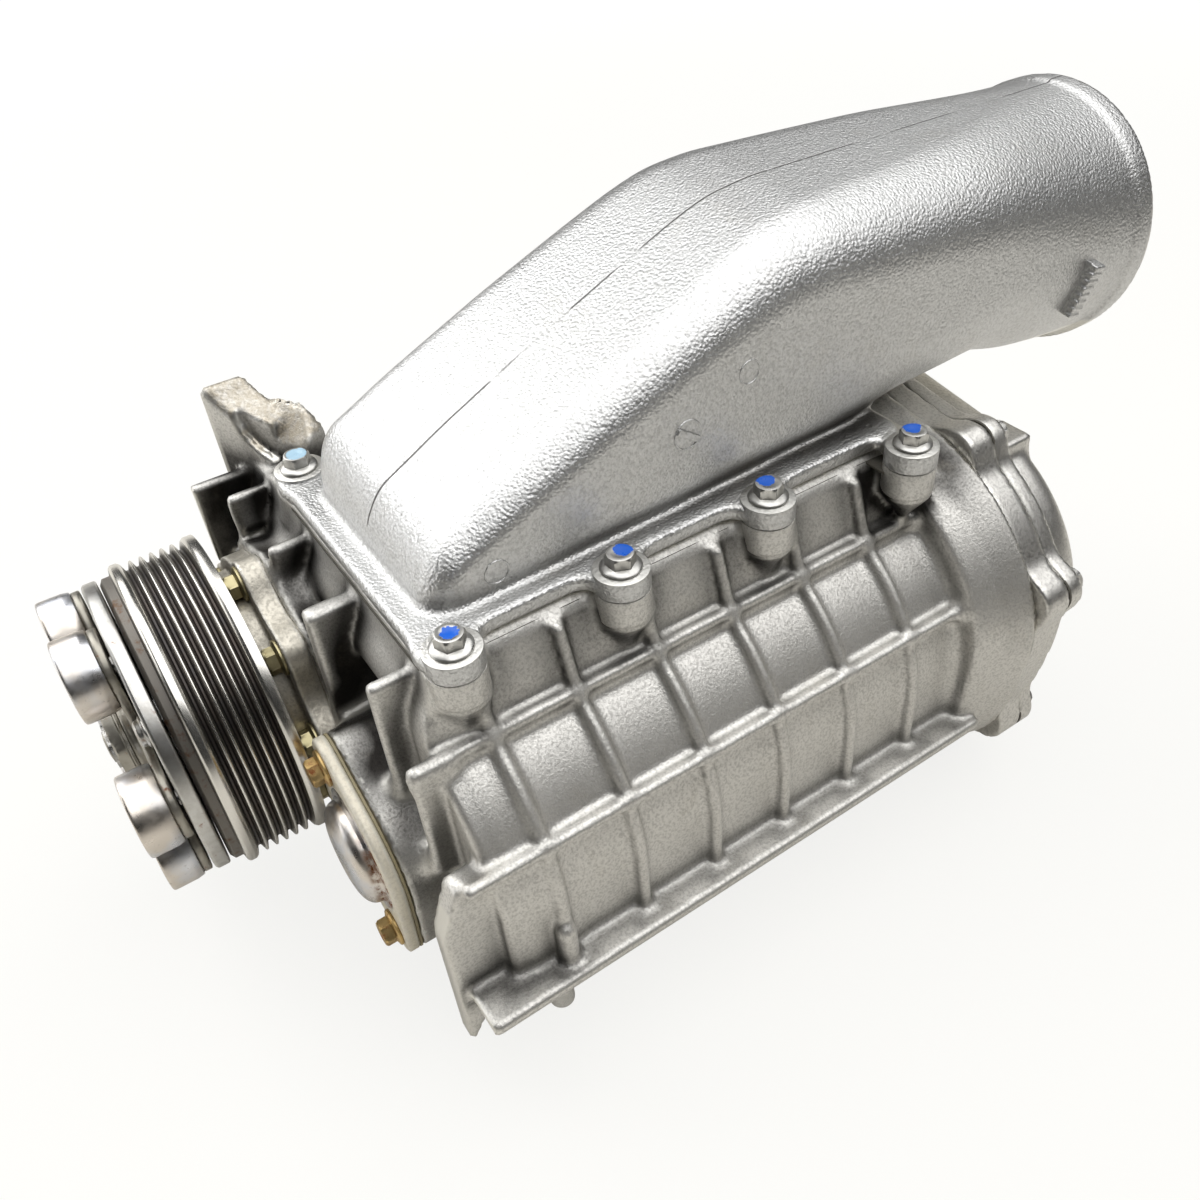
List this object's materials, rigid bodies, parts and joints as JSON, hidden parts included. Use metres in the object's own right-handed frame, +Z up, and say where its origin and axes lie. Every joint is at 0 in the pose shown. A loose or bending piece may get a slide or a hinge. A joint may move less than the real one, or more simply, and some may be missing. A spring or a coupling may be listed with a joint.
{
  "type": "supercharger",
  "caption": "Twin-rotor supercharger: ribbed cast housing with timed lobed rotors, clutch belt pulley on a nose, rear gear cover and a curved cast inlet duct on top.",
  "frame": {"origin": "middle of the outlet face that the housing stands on, at the centre of its bolt pattern", "axes": "+X towards the ribbed driven-rotor side, +Y from the pulley to the rear cover along the rotor axes, +Z up towards the inlet duct"},
  "size_m": [0.2242, 0.3815, 0.2282],
  "materials": {
    "cast_housing": "sand-blasted casting",
    "cast_duct": "coarse sand casting",
    "cast_nose": "casting",
    "rear_castings": "satin casting",
    "front_cover": "machined",
    "dome": "polished pressed steel",
    "zinc_bolts": "zinc plated",
    "yellow_bolts": "yellow passivated",
    "rusty_bolts": "yellow passivated and rusted",
    "dowel_steel": "ground",
    "screw_steel": "black oxide",
    "gaskets": "matte",
    "rotor_alloy": "coated",
    "shaft_steel": "ground",
    "gear_steel": "ground",
    "nut_steel": "zinc plated",
    "bearing_steel": "polished",
    "seal_rubber": "matte",
    "coil": "matte",
    "connector": "matte",
    "circlip": "spring steel",
    "pulley": "turned, dark grooves",
    "armature": "zinc plated",
    "hub": "zinc plated",
    "cups": "polished",
    "damper_rubber": "matte"
  },
  "bodies": {
    "housing": {"rotor_housing": "cast_housing", "outlet_dowels": "dowel_steel", "inlet_duct": "cast_duct", "duct_gasket": "gaskets", "duct_bolts": "zinc_bolts", "front_nose": "cast_nose", "nose_bolts": "yellow_bolts", "front_bearing_cover": "front_cover", "bearing_dome": "dome", "front_cover_gasket": "gaskets", "front_cover_bolts": "rusty_bolts", "rear_plate_gasket": "gaskets", "rear_bearing_plate": "rear_castings", "plate_screws": "screw_steel", "rear_cover_gasket": "gaskets", "rear_cover": "rear_castings", "rear_cover_bolts": "zinc_bolts", "oil_plug": "nut_steel", "drive_front_bearing": "bearing_steel", "driven_front_bearing": "bearing_steel", "drive_rear_bearing": "bearing_steel", "driven_rear_bearing": "bearing_steel", "rotor_seals": "seal_rubber", "nose_seal": "seal_rubber", "clutch_coil": "coil", "coil_connector": "connector", "pulley_bearing": "bearing_steel", "bearing_circlip": "circlip"},
    "drive": {"drive_rotor": "rotor_alloy", "drive_shaft": "shaft_steel", "drive_gear": "gear_steel", "drive_gear_nut": "nut_steel", "clutch_hub": "hub", "damper_cups": "cups", "damper_rubbers": "damper_rubber", "hub_nut": "nut_steel"},
    "driven": {"driven_rotor": "rotor_alloy", "driven_shaft": "shaft_steel", "driven_gear": "gear_steel", "driven_gear_nut": "nut_steel"},
    "pulley": {"clutch_pulley": "pulley"},
    "armature": {"armature_plate": "armature", "armature_rivets": "hub"}
  },
  "joints": [
    {"name": "drive_spin", "type": "hinge", "parent": "housing", "child": "drive", "pos_m": [-0.03939, 0, 0.08495], "axis": [0, 1, 0], "continuous": true},
    {"name": "driven_spin", "type": "hinge", "parent": "housing", "child": "driven", "pos_m": [0.03939, 0, 0.07105], "axis": [0, 1, 0], "continuous": true},
    {"name": "pulley_spin", "type": "hinge", "parent": "housing", "child": "pulley", "pos_m": [-0.03939, 0, 0.08495], "axis": [0, 1, 0], "continuous": true},
    {"name": "armature_pull", "type": "slide", "parent": "drive", "child": "armature", "axis": [0, 1, 0], "range_m": [0, 0.0005], "stiffness_N_per_m": 4000}
  ],
  "couplings": [
    {"joint": "driven_spin", "follows": "drive_spin", "ratio": -1}
  ]
}
